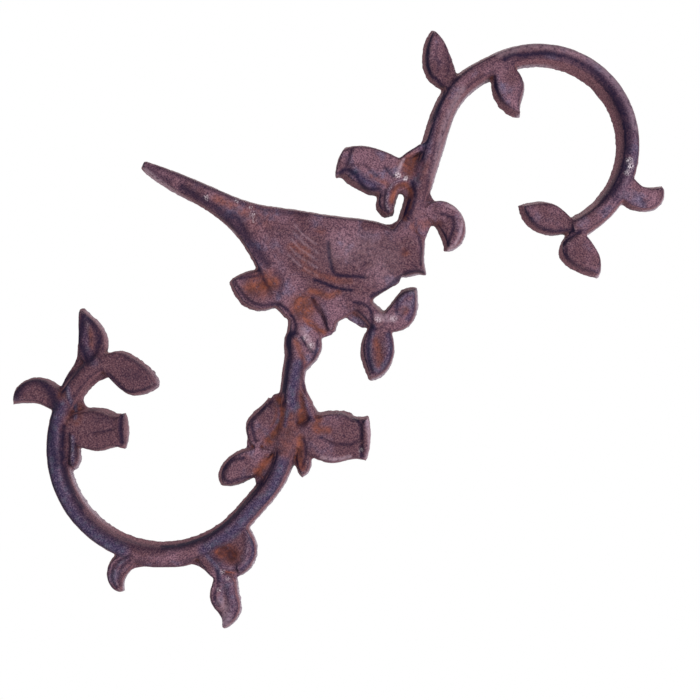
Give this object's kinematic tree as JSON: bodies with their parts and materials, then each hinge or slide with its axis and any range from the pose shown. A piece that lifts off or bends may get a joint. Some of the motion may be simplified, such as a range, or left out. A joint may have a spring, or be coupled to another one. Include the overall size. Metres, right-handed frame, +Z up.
{
  "type": "plant hook",
  "caption": "S-shaped cast-iron hook of rose vine with a perched bird, which hangs a plant basket from a rail or branch.",
  "frame": {"origin": "seat of the upper hook, the point of its inside that bears on the rail, at the flat back", "axes": "+Z up along the load line from the lower seat to the upper one, +Y out of the flat back, so that the modelled face looks along -Y, and +X to the right of that face"},
  "size_m": [0.1581, 0.0098, 0.2698],
  "materials": {
    "cast_iron": "matte antiqued, sand-cast grain"
  },
  "bodies": {
    "root": {"plant_hook": "cast_iron"}
  },
  "joints": []
}
